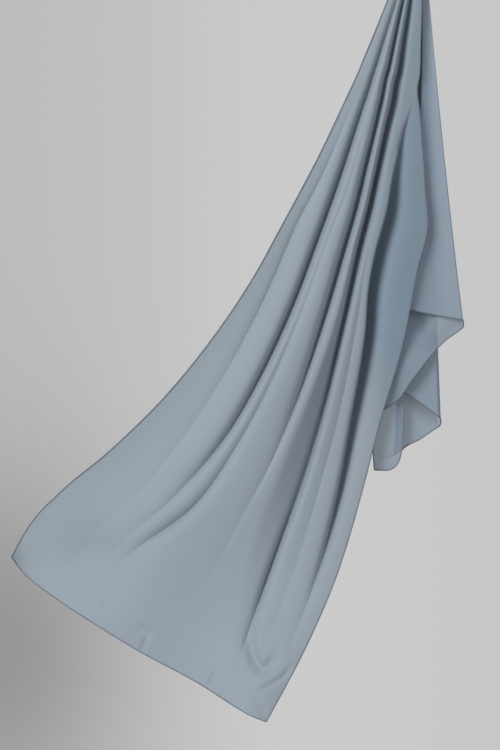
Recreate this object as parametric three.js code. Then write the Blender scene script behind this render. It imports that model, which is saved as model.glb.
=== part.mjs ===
import * as THREE from "three";

// A rectangular chiffon headscarf held up at one gathered point. X runs to the viewer's right, Y away from
// the viewer and Z up, in millimetres, from the held point. One half flies out to the lower left as a wing,
// the other falls straight down behind it in flattened layers, like a cascade.

// Cloth, rolled hems and the gap between neighbouring stretches. Where the cloth is gathered tight, a hem
// along its side takes at most the limit share of the margin beside the outermost fold.
const WALL = 1.0;
const HEM_WALL = 1.8;
const HEM_WIDTH = 4.0;
const HEM_LIMIT_SHARE = 0.6;
const SEAM = 0.3;

// The gathered tip: a small fluted peak, level at its foot, where the walls below it start. Its rings are
// squarish ellipses, each with its height, its half width across and its half depth.
const TIP_FOOT = -20;
const TIP_PEAK = 18;
const TIP_SIDES = 36;
const TIP_FLUTES = 9;
const TIP_FLUTE_SHARE = 0.05;
const TIP_SQUARENESS = 3;
const TIP_RINGS = [
  { z: TIP_FOOT, across: 21.5, deep: 18.0 },
  { z: -14, across: 17.0, deep: 15.0 },
  { z: -6, across: 13.0, deep: 11.5 },
  { z: 3, across: 10.5, deep: 9.5 },
  { z: 11, across: 8.0, deep: 7.5 },
  { z: 16, across: 4.5, deep: 4.2 },
];
const WALL_TOP = TIP_FOOT - SEAM;

// The tables give places across and below the held point as they look from one eye straight in front. A point
// that lies deeper is spread away from the eye's axis, and a nearer one is drawn in, to look the same.
const EYE = { x: -264, z: -680, distance: 4000 };

// The wing's long edges at each section, from the gathered tip to the short end. The left edge goes back all
// the way. The right edge keeps close to the cascade as long as that is behind it, and then comes forward.
const WING_SECTIONS = [
  { at: 0.0, leftX: -19, leftZ: -20, leftY: 0, rightX: 9, rightZ: -20, rightY: 0 },
  { at: 0.06, leftX: -38, leftZ: -66, leftY: 1.2, rightX: 10.5, rightZ: -78, rightY: 3 },
  { at: 0.12, leftX: -64, leftZ: -131, leftY: 3.7, rightX: 9, rightZ: -154, rightY: 6.5 },
  { at: 0.16, leftX: -82, leftZ: -174, leftY: 5.9, rightX: 8, rightZ: -203, rightY: 8.5 },
  { at: 0.178, leftX: -90, leftZ: -194, leftY: 6.9, rightX: 4.5, rightZ: -226, rightY: 9.3 },
  { at: 0.2, leftX: -101, leftZ: -218, leftY: 8.4, rightX: 7, rightZ: -256, rightY: 10.5 },
  { at: 0.3, leftX: -151, leftZ: -324, leftY: 16, rightX: 16, rightZ: -384, rightY: 14 },
  { at: 0.35, leftX: -178, leftZ: -376, leftY: 20.5, rightX: 19.5, rightZ: -446, rightY: 15 },
  { at: 0.4, leftX: -206, leftZ: -428, leftY: 25.4, rightX: 4, rightZ: -509, rightY: 16 },
  { at: 0.5, leftX: -263, leftZ: -531, leftY: 36, rightX: -21, rightZ: -635, rightY: 22 },
  { at: 0.6, leftX: -329, leftZ: -628, leftY: 48.6, rightX: -57, rightZ: -758, rightY: 32 },
  { at: 0.7, leftX: -404, leftZ: -719, leftY: 62, rightX: -89, rightZ: -882, rightY: 28 },
  { at: 0.8, leftX: -488, leftZ: -801, leftY: 77, rightX: -127, rightZ: -1005, rightY: 8 },
  { at: 0.9, leftX: -577, leftZ: -877, leftY: 93, rightX: -178, rightZ: -1122, rightY: -26 },
  { at: 1.0, leftX: -646, leftZ: -971, leftY: 110, rightX: -238, rightZ: -1235, rightY: -60 },
];
const WING_LENGTH = 1240;

// How far the short end bulges past the straight line between its corners
const END_BULGE = [
  { share: 0, bulge: 0 },
  { share: 0.07, bulge: 11.5 },
  { share: 0.2, bulge: 17 },
  { share: 0.36, bulge: 17.5 },
  { share: 0.52, bulge: 15.5 },
  { share: 0.74, bulge: 7 },
  { share: 0.93, bulge: 6 },
  { share: 1, bulge: 0 },
];

// The wing's middle bellies forward. Its left margin stays flat and its right one slopes back.
const WING_TOP_DEPTH = -11;
const BELLY = 26;
const END_WAVE = { depth: 9, turns: 1.6, start: 0.15 };

// Valleys down the wing, left to right. Share is the valley's place across the section and depth how far it
// goes back, both at each of VALLEY_AT, as far as no turn gets tighter than TIGHTEST_TURN. The flanks take
// leftSlot and rightSlot of the way to the ridges on each side, ridge is the place of the next ridge on the
// way to the next valley, and lean is how upright or overhanging a flank is.
const VALLEY_AT = [0, 0.06, 0.2, 0.27, 0.35, 0.5, 0.7, 0.85, 1];
const VALLEYS = [
  {
    name: "first valley", leftSlot: 0.3, rightSlot: 0.55, ridge: 0.5, leftLean: 0.9, rightLean: 1.1,
    share: [0.27, 0.26, 0.25, 0.243, 0.257, 0.305, 0.34, 0.285, 0.25],
    depth: [2.4, 7, 18, 22, 26, 26, 18, 8, 2],
  },
  {
    name: "second valley", leftSlot: 0.55, rightSlot: 0.65, ridge: 0.57, leftLean: 1.0, rightLean: 1.1,
    share: [0.45, 0.42, 0.43, 0.435, 0.44, 0.505, 0.57, 0.545, 0.5],
    depth: [2.4, 8, 22, 28, 32, 32, 20, 8, 2],
  },
  {
    name: "third valley", leftSlot: 1.0, rightSlot: 0.4, ridge: 0.5, leftLean: 0.25, rightLean: 1.15,
    share: [0.66, 0.655, 0.59, 0.55, 0.54, 0.63, 0.735, 0.772, 0.86],
    depth: [3.5, 9, 26, 32, 36, 38, 36, 26, 6],
  },
  {
    name: "fourth valley", leftSlot: 0.4, rightSlot: 0.35, ridge: 0.5, leftLean: 1.15, rightLean: 0.9,
    share: [0.92, 0.92, 0.885, 0.745, 0.7, 0.812, 0.917, 0.942, 0.96],
    depth: [0.5, 2, 6, 14, 32, 36, 26, 8, 2],
  },
];
const SEAM_VALLEY = VALLEYS.length - 1;

// How far the smooth panel beyond the last valley starts behind the ridge before it, at each of VALLEY_AT
const SET_BACK = [0, 0, 3, 4, 8, 8, 3, 0, 0];
const TIGHTEST_TURN = 1.0;
const CROWN = 0.09;
const LEAN_HALF_AT = 0.6;

// Shallow arcs that press into the ridge tops, with a half width as a share of the section
const SOFT_ARCS = [
  {
    name: "outer arc", half: 0.07,
    share: [0.12, 0.12, 0.11, 0.1, 0.09, 0.12, 0.16, 0.17, 0.18],
    depth: [0, 0, 1, 3, 6, 9, 7, 4, 1],
  },
  {
    name: "arc beside the first valley", half: 0.05,
    share: [0.35, 0.34, 0.335, 0.335, 0.345, 0.38, 0.41, 0.385, 0.33],
    depth: [0, 0, 1, 3, 5, 8, 10, 10, 4],
  },
  {
    name: "arc beside the fourth valley", half: 0.05,
    share: [0.8, 0.78, 0.73, 0.64, 0.61, 0.71, 0.815, 0.85, 0.9],
    depth: [0, 0, 0, 1, 3, 5, 5, 3, 1],
  },
];

// Where grid columns lie in each flank and ridge top, as shares of it
const FLANK_COLUMNS = [0, 0.3, 0.55, 0.8];
const TOP_COLUMNS = [0, 0.2, 0.4, 0.6, 0.8];
const WING_ROWS = 28;

// The cascade's turns, from the layer nearest the wing to the hindmost. A turn is a round fold: side is +1 on
// the viewer's right, and way is +1 where the cloth turns back, -1 where it comes forward again.
const TURNS = [
  { topX: 18, topY: 3.6, topR: 1.2, hemX: 77.6, hemZ: -598, hemY: 20, hemR: 6, side: 1, way: 1, bow: -3 },
  { topX: 0, topY: 6.2, topR: 1.2, hemX: -53, hemZ: -736, hemY: 33, hemR: 5, side: -1, way: 1, bow: 0 },
  { topX: 13, topY: 11, topR: 3.6, hemX: 41.3, hemZ: -754, hemY: 53, hemR: 13, side: 1, way: 1, bow: 0 },
  { topX: 2, topY: 13.4, topR: 1.2, hemX: -33.6, hemZ: -808, hemY: 64, hemR: 4, side: -1, way: -1, bow: 0 },
  { topX: 9, topY: 11, topR: 1.2, hemX: -19.2, hemZ: -799, hemY: 54, hemR: 4, side: 1, way: -1, bow: 0 },
];
const CASCADE_START = { topX: 9.6, topY: 2.4, hemX: -24, hemZ: -572, hemY: 14, bow: 14 };
const CASCADE_END = { topX: -1, topY: 9.8, hemX: -61.6, hemZ: -832, hemY: 50, bow: 0 };

// The layers between those turns: how the hem's height runs across each, share by share, as a drop below the
// straight line between its ends
const LAYERS = [
  {
    name: "cascade_front", colour: 0x8496a6, columns: [0, 0.25, 0.5, 0.75, 1],
    sag: [[0, 0], [0.5, 1], [1, 0]],
  },
  {
    name: "cascade_return", colour: 0x7d8c9a, columns: [0, 0.15, 0.3, 0.45, 0.62, 0.8, 1],
    sag: [[0, 0], [0.3, -9], [0.62, -1], [0.8, 8], [1, 0]],
  },
  {
    name: "second_fall", colour: 0x7b8d9d, columns: [0, 0.2, 0.38, 0.55, 0.75, 1],
    sag: [[0, 0], [0.2, -22], [0.38, -31], [0.7, -17], [1, 0]],
  },
  {
    name: "second_return", colour: 0x8b98a3, columns: [0, 0.25, 0.5, 0.75, 1],
    sag: [[0, 0], [0.4, 1], [0.7, -2], [1, 0]],
  },
  {
    name: "tail_link", colour: 0x8697a6, columns: [0, 0.5, 1],
    sag: [[0, 0], [1, 0]],
  },
  {
    name: "tail_strip", colour: 0x95a1a9, columns: [0, 0.1, 0.25, 0.45, 0.7, 1],
    sag: [[0, 0], [0.12, 15], [0.42, 18], [1, 0]],
  },
];
const TURN_COLUMNS = 4;
const CASCADE_ROWS = 8;
const CASCADE_LENGTH = 760;
const LAYER_BELLY = 1.6;

const WING_COLOUR = 0x96a2ad;
const MIDDLE_COLOUR = 0x7d8d9c;
const HEM_COLOUR = 0x5c6873;
const TIP_COLOUR = 0x7f8f9e;
const CLOTH_ROUGHNESS = 0.7;

const mix = (a, b, share) => a + (b - a) * share;
const clamp = (value, low, high) => Math.min(Math.max(value, low), high);

// Smooth curve through values at uneven stations, with each slope taken across the neighbours
function along(stations, values, at) {
  const last = stations.length - 1;
  let i = 0;
  while (i < last - 1 && at > stations[i + 1]) i += 1;
  const slope = (k) => {
    const low = Math.max(k - 1, 0);
    const high = Math.min(k + 1, last);
    return (values[high] - values[low]) / (stations[high] - stations[low]);
  };
  const span = stations[i + 1] - stations[i];
  const q = (at - stations[i]) / span;
  const bend = q * (1 - q);
  const straight = mix(values[i], values[i + 1], q);
  const rise = (values[i + 1] - values[i]) / span;
  return straight + bend * span * ((1 - q) * (slope(i) - rise) - q * (slope(i + 1) - rise));
}

const column = (rows, name) => rows.map((row) => row[name]);
const SECTION_AT = column(WING_SECTIONS, "at");
const EDGE_COLUMNS = {};
for (const name of ["leftX", "leftZ", "leftY", "rightX", "rightZ", "rightY"]) {
  EDGE_COLUMNS[name] = column(WING_SECTIONS, name);
}
const edge = (name, at) => along(SECTION_AT, EDGE_COLUMNS[name], at);

// Spreads a place in the tables away from the eye's axis by its depth
function seen(x, y, z) {
  const spread = 1 + y / EYE.distance;
  return new THREE.Vector3(EYE.x + (x - EYE.x) * spread, y, EYE.z + (z - EYE.z) * spread);
}

// Where the section's parts meet, as shares across it: edge, then flank, bottom, flank and ridge top for each
// valley, and the far edge
function wingKnots(at, width) {
  const places = VALLEYS.map((valley) => along(VALLEY_AT, valley.share, at));
  const ridges = places.map((place, i) => {
    const next = i + 1 < places.length ? places[i + 1] : 1;
    return i + 1 < places.length ? mix(place, next, VALLEYS[i].ridge) : next;
  });
  return VALLEYS.map((valley, i) => {
    const before = i ? ridges[i - 1] : 0;
    const left = mix(places[i], before, valley.leftSlot);
    const right = mix(places[i], ridges[i], valley.rightSlot);
    const narrow = Math.min(places[i] - left, right - places[i]) * width;
    const deepest = (2 * (2 * narrow) ** 2) / (Math.PI ** 2 * TIGHTEST_TURN);
    const depth = Math.min(along(VALLEY_AT, valley.depth, at), deepest);
    return { left, bottom: places[i], right, depth };
  });
}

// One flank from the valley's bottom to its shoulder: how far across and how high, at a share of the way.
// An upright or overhanging flank keeps its bottom and its shoulder round.
function flank(share, width, depth, lean) {
  const turn = Math.PI * share;
  const steep = depth / Math.max(Math.abs(width), 1e-6);
  const hold = (lean * steep) / (steep + LEAN_HALF_AT);
  return {
    across: share + (hold * Math.sin(2 * turn)) / (2 * Math.PI),
    depth: (depth * (1 + Math.cos(turn))) / 2,
  };
}

// A place on the wing. Across counts its parts: 0 to 1 is the margin at the left edge, then each valley has a
// left flank, a right flank and a ridge top. Down goes from 0 at the tip to 1 at the short end.
function wing(across, down) {
  const left = { x: edge("leftX", down), y: edge("leftY", down), z: edge("leftZ", down) };
  const right = { x: edge("rightX", down), y: edge("rightY", down), z: edge("rightZ", down) };
  const width = Math.hypot(right.x - left.x, right.z - left.z);
  const knots = wingKnots(down, width);
  const part = clamp(Math.floor(across), 0, 3 * VALLEYS.length);
  const q = across - part;
  let share;
  let depth = 0;
  const top = (from, to, back) => {
    share = mix(from, to, q);
    depth = back * (1 - q) - CROWN * (to - from) * width * Math.sin(Math.PI * clamp(q, 0, 1));
  };
  if (part === 0) {
    share = mix(0, knots[0].left, q);
  } else {
    const k = knots[Math.floor((part - 1) / 3)];
    const valley = VALLEYS[Math.floor((part - 1) / 3)];
    const piece = (part - 1) % 3;
    const next = knots[Math.floor((part - 1) / 3) + 1];
    const back = next ? 0 : along(VALLEY_AT, SET_BACK, down);
    if (piece === 0) {
      const f = flank(1 - q, (k.bottom - k.left) * width, k.depth, valley.leftLean);
      share = mix(k.bottom, k.left, f.across);
      depth = f.depth;
    } else if (piece === 1) {
      const f = flank(q, (k.right - k.bottom) * width, k.depth - back, valley.rightLean);
      share = mix(k.bottom, k.right, f.across);
      depth = back + f.depth;
    } else {
      top(k.right, next ? next.left : 1, back);
    }
  }
  const inside = clamp(share, 0, 1);
  const belly = BELLY * Math.sin(Math.PI * inside) ** (2 - inside) * Math.sin(Math.PI * down);
  const wave = END_WAVE.depth * down ** 3 * Math.sin(2 * Math.PI * (END_WAVE.turns * share + END_WAVE.start));
  const arcs = SOFT_ARCS.reduce((sum, arc) => {
    const off = (share - along(VALLEY_AT, arc.share, down)) / arc.half;
    return sum + along(VALLEY_AT, arc.depth, down) * Math.exp(-off * off);
  }, 0);
  const y = WING_TOP_DEPTH + mix(left.y, right.y, share) - belly + wave + arcs + depth;
  const bulge = down ** 3 * along(column(END_BULGE, "share"), column(END_BULGE, "bulge"), clamp(share, 0, 1));
  const outX = (right.z - left.z) / width;
  const outZ = -(right.x - left.x) / width;
  return seen(mix(left.x, right.x, share) + outX * bulge, y, mix(left.z, right.z, share) + outZ * bulge);
}

// A place on the cascade. Across counts its parts, layer, turn, layer and so on. Down goes from 0 to 1.
function cascade(across, down) {
  const part = clamp(Math.floor(across), 0, 2 * TURNS.length);
  const q = across - part;
  const at = (row) => ({
    x: mix(row.topX, row.hemX, down) + row.bow * 4 * down * (1 - down),
    y: mix(row.topY, row.hemY, down),
    z: mix(WALL_TOP, row.hemZ, down),
    r: mix(row.topR ?? 0, row.hemR ?? 0, down),
  });
  const shoulder = (row, sign) => {
    const p = at(row);
    if (row.side) {
      p.x -= row.side * p.r;
      p.y += sign * row.way * p.r;
    }
    return p;
  };
  if (part % 2 === 1) {
    const row = TURNS[(part - 1) / 2];
    const centre = shoulder(row, 0);
    const angle = Math.PI * (q - 0.5);
    return seen(
      centre.x + row.side * centre.r * Math.cos(angle),
      centre.y + row.way * centre.r * Math.sin(angle),
      centre.z,
    );
  }
  const layer = part / 2;
  const from = shoulder(layer ? TURNS[layer - 1] : CASCADE_START, 1);
  const to = shoulder(layer < TURNS.length ? TURNS[layer] : CASCADE_END, -1);
  const sag = LAYERS[layer].sag;
  const drop = along(sag.map((pair) => pair[0]), sag.map((pair) => pair[1]), q);
  const belly = LAYER_BELLY * down * Math.sin(Math.PI * clamp(q, 0, 1));
  return seen(mix(from.x, to.x, q), mix(from.y, to.y, q) - belly, mix(from.z, to.z, q) - drop * down);
}

// How much of a part across a surface one distance takes, near a place on it
const PROBE = 1e-3;
function stepAcross(surface, across, down, distance) {
  const reach = surface(across + PROBE, down).distanceTo(surface(across - PROBE, down)) / (2 * PROBE);
  return distance / reach;
}

// A column that stays a hem's width, and then some, inside an edge. Inward is +1 from the first edge and -1
// from the last.
const EDGE_PROBE = 0.02;
const insideHem = (surface, edgeAcross, inward, extra) => (down) => {
  const place = edgeAcross + inward * EDGE_PROBE;
  const hem = Math.min(stepAcross(surface, place, down, HEM_WIDTH), HEM_LIMIT_SHARE);
  return edgeAcross + inward * (hem + stepAcross(surface, place, down, extra));
};

// A column half a seam to one side of a place
const besideSeam = (surface, across, side) => (down) => (
  across + side * stepAcross(surface, across, down, SEAM / 2)
);

// The closed wall around a surface, on a grid of columns and rows. A column is a function of the way down.
function wall(surface, columns, rows, thickness) {
  const position = [];
  for (const sign of [1, -1]) {
    rows.forEach((down) => {
      columns.forEach((columnAt) => {
        const across = columnAt(down);
        const p = surface(across, down);
        const right = surface(across + PROBE, down).sub(surface(across - PROBE, down));
        const low = Math.max(down - PROBE, 0);
        const fall = surface(across, low + 2 * PROBE).sub(surface(across, low));
        const normal = right.cross(fall).normalize();
        p.addScaledVector(normal, (sign * thickness) / 2);
        if (down === 0) p.z = WALL_TOP;
        position.push(p.x, p.y, p.z);
      });
    });
  }
  const wide = columns.length;
  const back = wide * rows.length;
  const index = [];
  const quad = (a, b, c, d) => index.push(a, b, c, a, c, d);
  for (let r = 0; r + 1 < rows.length; r += 1) {
    for (let c = 0; c + 1 < wide; c += 1) {
      const a = r * wide + c;
      quad(a, a + 1, a + wide + 1, a + wide);
      quad(back + a, back + a + wide, back + a + wide + 1, back + a + 1);
    }
    const first = r * wide;
    const last = first + wide - 1;
    quad(first, first + wide, back + first + wide, back + first);
    quad(last, back + last, back + last + wide, last + wide);
  }
  const foot = (rows.length - 1) * wide;
  for (let c = 0; c + 1 < wide; c += 1) {
    quad(c, back + c, back + c + 1, c + 1);
    quad(foot + c, foot + c + 1, back + foot + c + 1, back + foot + c);
  }
  return closed(position, index);
}

// An indexed geometry with its faces pointing out
function closed(position, index) {
  const corner = (i) => new THREE.Vector3().fromArray(position, 3 * i);
  let volume = 0;
  for (let i = 0; i < index.length; i += 3) {
    volume += corner(index[i]).dot(corner(index[i + 1]).cross(corner(index[i + 2])));
  }
  if (volume < 0) {
    for (let i = 0; i < index.length; i += 3) [index[i + 1], index[i + 2]] = [index[i + 2], index[i + 1]];
  }
  const geometry = new THREE.BufferGeometry();
  geometry.setAttribute("position", new THREE.Float32BufferAttribute(position, 3));
  geometry.setIndex(index);
  geometry.computeVertexNormals();
  return geometry;
}

const group = new THREE.Group();

function add(name, geometry, colour) {
  const look = { color: colour, roughness: CLOTH_ROUGHNESS, metalness: 0 };
  const mesh = new THREE.Mesh(geometry, new THREE.MeshStandardMaterial(look));
  mesh.name = name;
  group.add(mesh);
}

const evenly = (count, from, to) => Array.from({ length: count + 1 }, (_, i) => mix(from, to, i / count));
const steady = (across) => () => across;

// Wing
const WING_HEM_AT = 1 - HEM_WIDTH / WING_LENGTH;
const WING_CLOTH_END = WING_HEM_AT - SEAM / WING_LENGTH;
const wingLast = 3 * VALLEYS.length + 1;
const seamAt = 3 * SEAM_VALLEY + 2;

// Columns of the valleys' flanks and ridge tops, from one part to another
function wingColumns(from, to) {
  const list = [];
  for (let part = from; part < to; part += 1) {
    const shares = (part - 1) % 3 === 2 ? TOP_COLUMNS : FLANK_COLUMNS;
    shares.forEach((share) => list.push(steady(part + share)));
  }
  return list;
}
const between = (from, to, shares) => shares.map((share) => (down) => mix(from(down), to(down), share));

const wingRows = evenly(WING_ROWS, 0, WING_CLOTH_END);
const panelColumns = [
  ...between(insideHem(wing, 0, 1, SEAM), steady(1), TOP_COLUMNS),
  ...wingColumns(1, seamAt),
  besideSeam(wing, seamAt, -1),
];
add("flying_panel", wall(wing, panelColumns, wingRows, WALL), WING_COLOUR);
const middleColumns = [
  besideSeam(wing, seamAt, 1),
  ...wingColumns(seamAt, wingLast - 1).slice(1),
  ...between(steady(wingLast - 1), insideHem(wing, wingLast, -1, SEAM), [...TOP_COLUMNS, 1]),
];
add("middle_fold", wall(wing, middleColumns, wingRows, WALL), MIDDLE_COLOUR);
const sideHemColumns = [steady(0), insideHem(wing, 0, 1, 0)];
add("hem_flying_side", wall(wing, sideHemColumns, wingRows, HEM_WALL), HEM_COLOUR);
const middleHemColumns = [insideHem(wing, wingLast, -1, 0), steady(wingLast)];
add("hem_middle_side", wall(wing, middleHemColumns, wingRows, HEM_WALL), HEM_COLOUR);
const endColumns = [
  ...between(steady(0), steady(1), TOP_COLUMNS),
  ...wingColumns(1, wingLast),
  steady(wingLast),
];
add("hem_flying_end", wall(wing, endColumns, [WING_HEM_AT, 1], HEM_WALL), HEM_COLOUR);

// Cascade
const CASCADE_HEM_AT = 1 - HEM_WIDTH / CASCADE_LENGTH;
const cascadeRows = evenly(CASCADE_ROWS, 0, CASCADE_HEM_AT - SEAM / CASCADE_LENGTH);
const cascadeLast = 2 * TURNS.length + 1;
const turnMiddle = (i) => 2 * i + 1.5;
const turnColumns = evenly(TURN_COLUMNS, 0, 1);

const zigzag = [steady(0)];
LAYERS.forEach((layer, i) => {
  const start = i === 0 ? insideHem(cascade, 0, 1, SEAM) : steady(2 * i);
  const end = i === TURNS.length ? insideHem(cascade, cascadeLast, -1, SEAM) : steady(2 * i + 1);
  const columns = between(start, end, layer.columns);
  if (i > 0) {
    columns.unshift(...turnColumns.filter((q) => q > 0.5 && q < 1).map((q) => steady(2 * i - 1 + q)));
    zigzag.push(steady(turnMiddle(i - 1)));
  }
  if (i < TURNS.length) {
    columns.push(...turnColumns.filter((q) => q > 0 && q < 0.5).map((q) => steady(2 * i + 1 + q)));
  }
  zigzag.push(...columns);
  if (i > 0) columns.unshift(besideSeam(cascade, turnMiddle(i - 1), 1));
  if (i < TURNS.length) columns.push(besideSeam(cascade, turnMiddle(i), -1));
  add(layer.name, wall(cascade, columns, cascadeRows, WALL), layer.colour);
});
zigzag.push(steady(cascadeLast));
const innerHemColumns = [steady(0), insideHem(cascade, 0, 1, 0)];
add("hem_inner_side", wall(cascade, innerHemColumns, cascadeRows, HEM_WALL), HEM_COLOUR);
const tailHemColumns = [insideHem(cascade, cascadeLast, -1, 0), steady(cascadeLast)];
add("hem_tail_side", wall(cascade, tailHemColumns, cascadeRows, HEM_WALL), HEM_COLOUR);
add("hem_cascade_end", wall(cascade, zigzag, [CASCADE_HEM_AT, 1], HEM_WALL), HEM_COLOUR);

// Gathered tip
function gatheredTip() {
  const position = [];
  const index = [];
  for (const ring of TIP_RINGS) {
    for (let i = 0; i < TIP_SIDES; i += 1) {
      const angle = (2 * Math.PI * i) / TIP_SIDES;
      const x = Math.cos(angle);
      const y = Math.sin(angle);
      const square = (Math.abs(x) ** TIP_SQUARENESS + Math.abs(y) ** TIP_SQUARENESS) ** (-1 / TIP_SQUARENESS);
      const reach = square * (1 - TIP_FLUTE_SHARE * (1 + Math.cos(TIP_FLUTES * angle)) / 2);
      position.push(ring.across * reach * x, ring.deep * reach * y, ring.z);
    }
  }
  const peak = position.length / 3;
  position.push(0, 0, TIP_PEAK, 0, 0, TIP_FOOT);
  for (let i = 0; i < TIP_SIDES; i += 1) {
    const next = (i + 1) % TIP_SIDES;
    for (let r = 0; r + 1 < TIP_RINGS.length; r += 1) {
      const a = r * TIP_SIDES;
      index.push(a + i, a + next, a + TIP_SIDES + next, a + i, a + TIP_SIDES + next, a + TIP_SIDES + i);
    }
    const a = (TIP_RINGS.length - 1) * TIP_SIDES;
    index.push(a + i, a + next, peak, next, i, peak + 1);
  }
  return closed(position, index);
}
add("gathered_tip", gatheredTip(), TIP_COLOUR);

export default group;
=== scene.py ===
# %% [markdown]
# # A chiffon headscarf, held up at one gathered point
#
# One rectangle of thin crepe chiffon hangs from a pinch. Half of it flies out to the lower left as a wing
# with long soft folds. The other half falls straight down behind it in flattened layers that end in a zigzag
# hem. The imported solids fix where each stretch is. Every cell below makes one stretch or one finish of the
# cloth again, thinner and with finer folds, in the same place.

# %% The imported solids
import math

import bmesh
import bpy
import numpy as np
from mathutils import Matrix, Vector


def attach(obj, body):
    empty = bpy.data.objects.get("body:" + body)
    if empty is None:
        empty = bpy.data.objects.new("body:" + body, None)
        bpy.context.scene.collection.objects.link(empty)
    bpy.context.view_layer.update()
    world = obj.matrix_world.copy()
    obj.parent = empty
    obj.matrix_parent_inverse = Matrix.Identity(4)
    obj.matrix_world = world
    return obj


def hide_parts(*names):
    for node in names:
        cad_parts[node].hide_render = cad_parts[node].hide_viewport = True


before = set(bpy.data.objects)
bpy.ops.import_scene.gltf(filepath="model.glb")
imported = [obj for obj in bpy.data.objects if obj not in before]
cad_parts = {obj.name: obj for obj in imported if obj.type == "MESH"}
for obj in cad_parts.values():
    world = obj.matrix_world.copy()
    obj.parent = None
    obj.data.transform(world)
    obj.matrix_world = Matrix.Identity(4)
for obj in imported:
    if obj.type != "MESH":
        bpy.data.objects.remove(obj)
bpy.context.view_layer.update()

MM = 0.001
print("nodes:", sorted(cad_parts))

# %% [markdown]
# ## Camera
#
# The scarf was seen level, from about four metres, with a lens that flattens depth only a little. A camera is
# an object with a lens: its sensor's long side is upright here, so the view is 1.2 metres high at the scarf.
# The eye's place is also used below, because the outlines were drawn as they look from there.

# %% Camera
EYE = {"x": -264.0, "z": -680.0, "distance": 4000.0}
LENS_MM = 120
SENSOR_MM = 36

camera_data = bpy.data.cameras.new("camera")
camera_data.lens = LENS_MM
camera_data.sensor_width = SENSOR_MM
camera = bpy.data.objects.new("camera", camera_data)
camera.location = (EYE["x"] * MM, -EYE["distance"] * MM, EYE["z"] * MM)
camera.rotation_euler = (math.pi / 2, 0, 0)
bpy.context.scene.collection.objects.link(camera)
bpy.context.scene.camera = camera
print("the view is", SENSOR_MM / LENS_MM * EYE["distance"] * MM, "m high at the scarf")

# %% [markdown]
# ## Backdrop, floor and light
#
# Behind the scarf is a plain grey wall. Its grey grows a little lighter towards the right, a painted light,
# with a painted pool of light right of the middle and painted shade at the lower left. A wall could be a
# plane, but it would hide the scarf from behind, so the world's colour is painted by direction instead and
# only the camera sees it. The floor is a grey disc below the view. One large soft light stands at the front
# left, so folds that face left are bright, and a weak one fills the right. The rest is soft light from all
# round, brighter from above than from below.

# %% Backdrop
scene = bpy.context.scene
scene.view_settings.view_transform = "Standard"
world = bpy.data.worlds.new("studio")
scene.world = world
world.use_nodes = True


def node(tree, kind, **values):
    """A new node with its settings. A name in values that the node lacks is one of its inputs."""
    made = tree.nodes.new(kind)
    for name, value in values.items():
        if hasattr(made, name):
            setattr(made, name, value)
        else:
            made.inputs[name.replace("_", " ")].default_value = value
    return made


def sums(tree, operation, *terms):
    """A maths node whose terms are numbers or sockets, and its result."""
    made = tree.nodes.new("ShaderNodeMath")
    made.operation = operation
    for i, term in enumerate(terms):
        if isinstance(term, (int, float)):
            made.inputs[i].default_value = term
        else:
            tree.links.new(term, made.inputs[i])
    return made.outputs[0]


AMBIENT_ABOVE = (0.300, 0.310, 0.330, 1)
AMBIENT_BELOW = (0.130, 0.138, 0.155, 1)
# A direction times these is a share of the view's width and height, from its middle
WIDTHS_A_DIRECTION, HEIGHTS_A_DIRECTION = 5.0, 3.33
# The wall's painted light: its grey at the left and right edges, a painted pool of light right of the middle,
# and painted shade in the lower left corner
WALL = {"left": 0.50, "right": 0.56}
MIDDLE = {"lighter": 0.06, "sideways": 0.6, "wide": 0.3}
CORNER = {"darker": 0.20, "sideways": 0.0, "upward": 0.14, "wide": 0.28, "high": 0.24}

tree = world.node_tree
tree.nodes.clear()
coordinates = node(tree, "ShaderNodeTexCoord")
axes = node(tree, "ShaderNodeSeparateXYZ")
tree.links.new(coordinates.outputs["Generated"], axes.inputs[0])
sideways = sums(tree, "MULTIPLY_ADD", axes.outputs["X"], WIDTHS_A_DIRECTION, 0.5)
upward = sums(tree, "MULTIPLY_ADD", axes.outputs["Z"], HEIGHTS_A_DIRECTION, 0.5)


def away(value, centre, reach):
    """How far a value is from a centre, squared, in reaches."""
    off = sums(tree, "DIVIDE", sums(tree, "SUBTRACT", value, centre), reach)
    return sums(tree, "MULTIPLY", off, off)


def bump_of(distance):
    """One at a centre, fading softly to nothing a few reaches away."""
    return sums(tree, "EXPONENT", sums(tree, "MULTIPLY", distance, -1.0))


# The wall's tone, with its painted light and painted shade
side_share = sums(tree, "MINIMUM", sums(tree, "MAXIMUM", sideways, 0.0), 1.0)
wall_tone = sums(tree, "MULTIPLY_ADD", side_share, WALL["right"] - WALL["left"], WALL["left"])
painted_light_middle = bump_of(away(sideways, MIDDLE["sideways"], MIDDLE["wide"]))
wall_tone = sums(tree, "MULTIPLY_ADD", painted_light_middle, MIDDLE["lighter"], wall_tone)
painted_shade_corner = bump_of(sums(
    tree, "ADD",
    away(sideways, CORNER["sideways"], CORNER["wide"]), away(upward, CORNER["upward"], CORNER["high"]),
))
wall_tone = sums(tree, "MULTIPLY_ADD", painted_shade_corner, -CORNER["darker"], wall_tone)
wall_colour = node(tree, "ShaderNodeCombineColor")
for socket in wall_colour.inputs:
    tree.links.new(wall_tone, socket)
wall_light = node(tree, "ShaderNodeBackground")
tree.links.new(wall_colour.outputs[0], wall_light.inputs["Color"])
overhead = sums(tree, "MULTIPLY_ADD", axes.outputs["Z"], 0.5, 0.5)
ambient = node(tree, "ShaderNodeMix", data_type="RGBA")
ambient.inputs[6].default_value = AMBIENT_BELOW
ambient.inputs[7].default_value = AMBIENT_ABOVE
tree.links.new(overhead, ambient.inputs[0])
even_light = node(tree, "ShaderNodeBackground")
tree.links.new(ambient.outputs[2], even_light.inputs["Color"])
ray = node(tree, "ShaderNodeLightPath")
either = node(tree, "ShaderNodeMixShader")
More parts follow.
